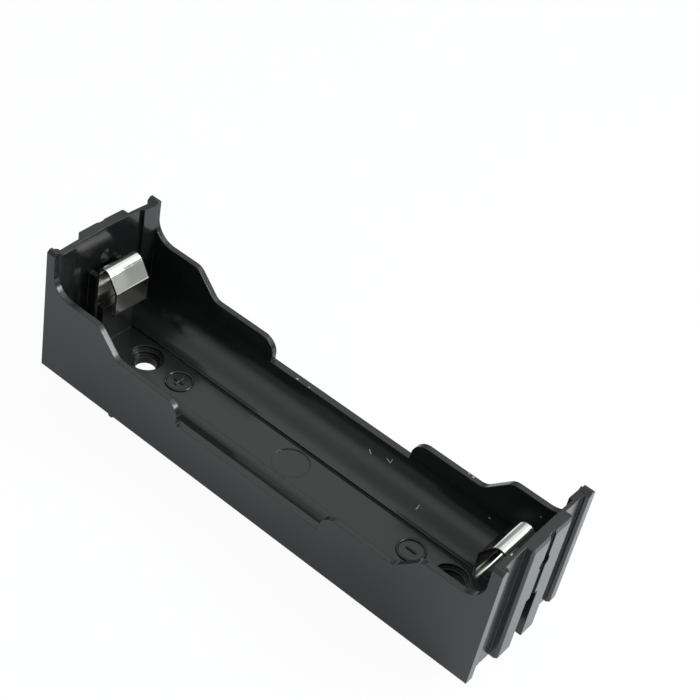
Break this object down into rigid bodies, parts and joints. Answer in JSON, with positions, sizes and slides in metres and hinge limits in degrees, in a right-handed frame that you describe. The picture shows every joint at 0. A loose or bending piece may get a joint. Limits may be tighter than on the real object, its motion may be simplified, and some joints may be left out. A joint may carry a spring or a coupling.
{
  "type": "cylindrical cell holder",
  "caption": "Open moulded holder for a cylindrical cell, with sprung strip contacts, solder pins and counterbored screw holes, for mounting on a circuit board.",
  "frame": {"origin": "middle of the board face of the housing", "axes": "+X along the cell towards the negative contact, +Y across the holder, +Z away from the board, out of the open cell bay"},
  "size_m": [0.0786, 0.0206, 0.0247],
  "materials": {
    "housing": "glossy moulded black, slightly scuffed",
    "contact": "bright nickel-plated spring strip"
  },
  "bodies": {
    "root": {"housing": "housing", "positive_contact": "contact", "negative_contact": "contact"}
  },
  "joints": []
}
